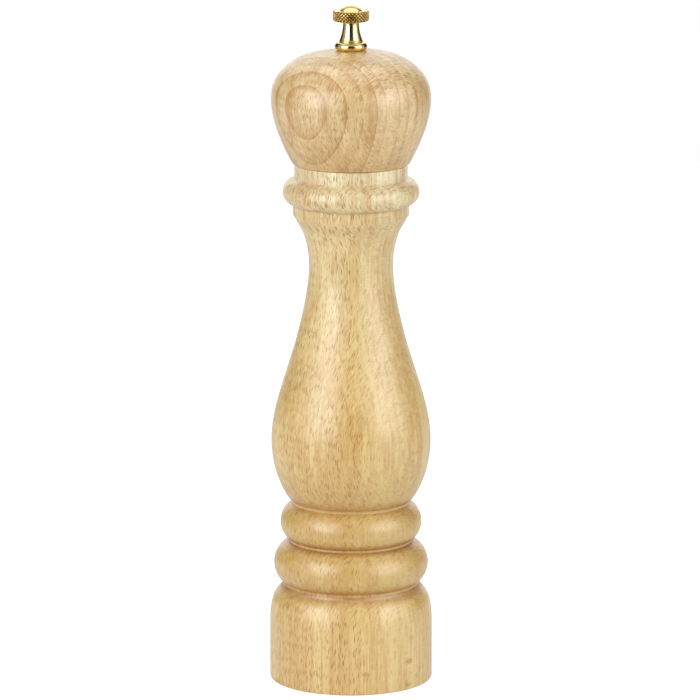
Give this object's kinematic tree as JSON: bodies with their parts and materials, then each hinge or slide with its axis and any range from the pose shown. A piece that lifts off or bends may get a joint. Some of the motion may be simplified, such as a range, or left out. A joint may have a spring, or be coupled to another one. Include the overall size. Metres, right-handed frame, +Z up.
{
  "type": "pepper mill",
  "caption": "Tall turned wooden pepper mill with a separate head, a metal finial knob, a square drive shaft and a conical burr grinder in the base.",
  "frame": {"origin": "centre of the base, on the surface the mill stands on", "axes": "+Z up along the turning axis, +X to the right and +Y away from the viewer"},
  "size_m": [0.0644, 0.0644, 0.27],
  "materials": {
    "beech_body": "satin lacquer over turned beech",
    "beech_head": "satin lacquer over turned beech, stained a little darker",
    "polished_brass": "polished and lacquered",
    "hardened_steel": "hardened, blued and lightly oiled",
    "nickel_plate": "nickel plated, lightly brushed",
    "bright_steel": "zinc plated",
    "spring_steel": "drawn wire, oiled",
    "shaft_steel": "cold drawn bar",
    "screw_steel": "zinc plated"
  },
  "bodies": {
    "mill_body": {"body": "beech_body", "grinding_ring": "hardened_steel", "shaft_bridge": "bright_steel", "retainer_plate": "nickel_plate", "retainer_screw_1": "screw_steel", "retainer_screw_2": "screw_steel", "retainer_screw_3": "screw_steel", "bridge_screw_1": "screw_steel", "bridge_screw_2": "screw_steel"},
    "spring_seat": {"spring_seat_washer": "bright_steel", "spring": "spring_steel"},
    "head_assembly": {"head": "beech_head", "drive_plate": "nickel_plate", "drive_plate_screw_1": "screw_steel", "drive_plate_screw_2": "screw_steel"},
    "knob_assembly": {"knob": "polished_brass"},
    "shaft_assembly": {"drive_shaft": "shaft_steel", "grinding_burr": "hardened_steel", "burr_washer": "bright_steel", "burr_nut": "screw_steel"}
  },
  "joints": [
    {"name": "grind_turn", "type": "hinge", "parent": "mill_body", "child": "spring_seat", "pos_m": [0, 0, 0], "axis": [0, 0, 1], "continuous": true},
    {"name": "head_lift", "type": "slide", "parent": "spring_seat", "child": "head_assembly", "axis": [0, 0, 1], "range_m": [0, 0.085]},
    {"name": "knob_turn", "type": "hinge", "parent": "head_assembly", "child": "knob_assembly", "pos_m": [0, 0, 0.2523], "axis": [0, 0, 1], "range_deg": [0, 720]},
    {"name": "burr_travel", "type": "slide", "parent": "spring_seat", "child": "shaft_assembly", "axis": [0, 0, 1], "range_m": [-0.0016, 0], "deforming": ["spring"]}
  ],
  "couplings": [
    {"joint": "knob_turn", "follows": "burr_travel", "rad_per_m": -7854}
  ]
}
